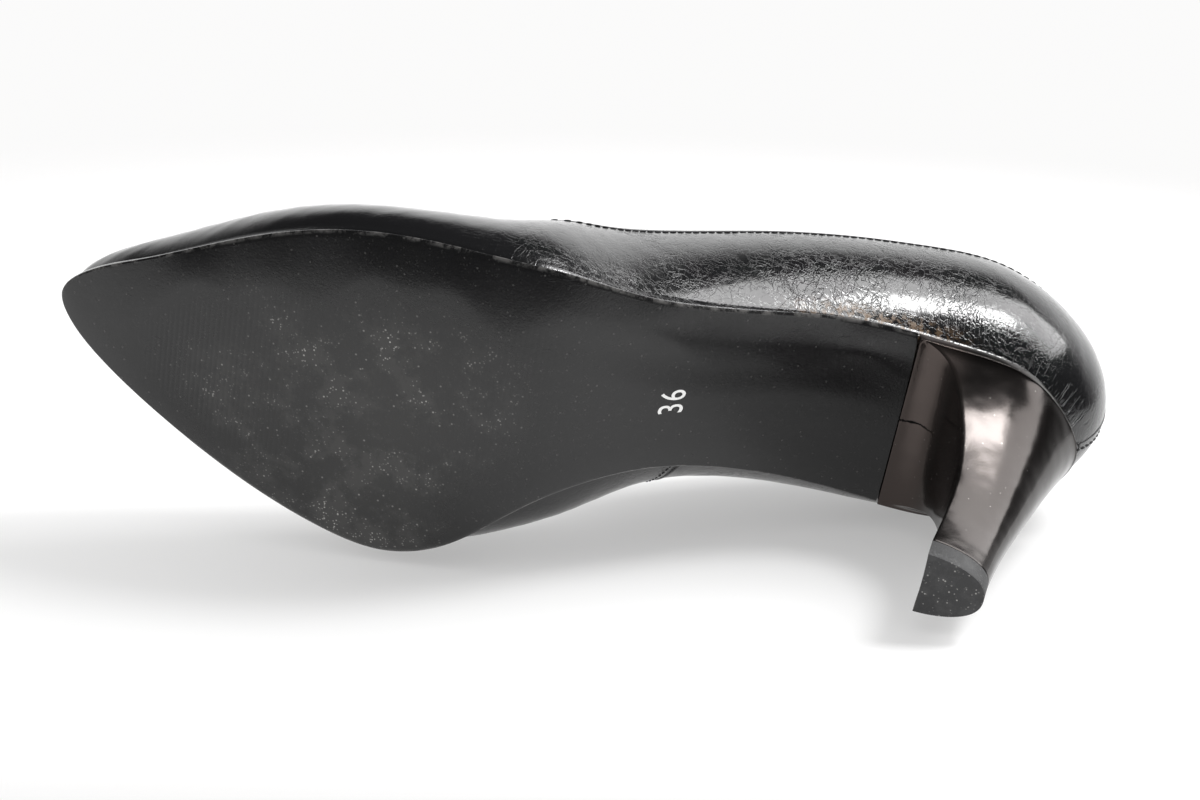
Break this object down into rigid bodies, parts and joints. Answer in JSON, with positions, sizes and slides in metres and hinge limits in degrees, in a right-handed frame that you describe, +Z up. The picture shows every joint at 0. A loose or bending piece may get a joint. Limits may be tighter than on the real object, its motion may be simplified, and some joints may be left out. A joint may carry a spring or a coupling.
{
  "type": "high heel pump",
  "caption": "Left court shoe with a pointed toe, low-cut opening and slim flared heel. It stands on the ball of its sole and its heel tip, and takes a foot.",
  "frame": {"origin": "centre of the bounding box at ground level, under the waist of the standing shoe", "axes": "+Z up, toe towards -Y, heel towards +Y, outer side of the left foot towards +X"},
  "size_m": [0.0796, 0.2226, 0.1088],
  "materials": {
    "patent_upper": "crinkled patent, high gloss, black",
    "lining": "smooth lining leather, satin",
    "sock": "smooth sock leather, satin",
    "stiffener": "thermoplastic sheet, matte",
    "backing_fabric": "woven backing and tape",
    "foam": "open-cell foam",
    "fibre_board": "fibre board, matte",
    "filler": "cork and resin filler, matte",
    "steel": "bare steel",
    "black_thread": "sewing thread",
    "black_outsole": "moulded polyurethane sole, satin, scuffed",
    "gunmetal_coating": "moulded plastic with a gunmetal metallic coating, glossy",
    "black_rubber": "hard rubber, matte"
  },
  "bodies": {
    "root": {"vamp_outer_quarter": "patent_upper", "inner_quarter": "patent_upper", "toe_puff": "stiffener", "vamp_backer": "backing_fabric", "heel_counter": "stiffener", "vamp_lining": "lining", "heel_grip": "lining", "topline_tape": "backing_fabric", "topline_thread": "black_thread", "side_seam_thread": "black_thread", "back_seam_thread": "black_thread", "outsole": "black_outsole", "bottom_filler": "filler", "shank_board": "fibre_board", "steel_shank": "steel", "insole_board": "fibre_board", "sock_foam": "foam", "sock_lining": "sock", "shank_rivet_front": "steel", "shank_rivet_rear": "steel", "heel_block": "gunmetal_coating", "top_lift": "black_rubber", "heel_dowel": "steel", "top_lift_pin": "steel", "heel_screw": "steel", "heel_nail_1": "steel", "heel_nail_2": "steel", "heel_nail_3": "steel", "heel_nail_4": "steel"}
  },
  "joints": []
}
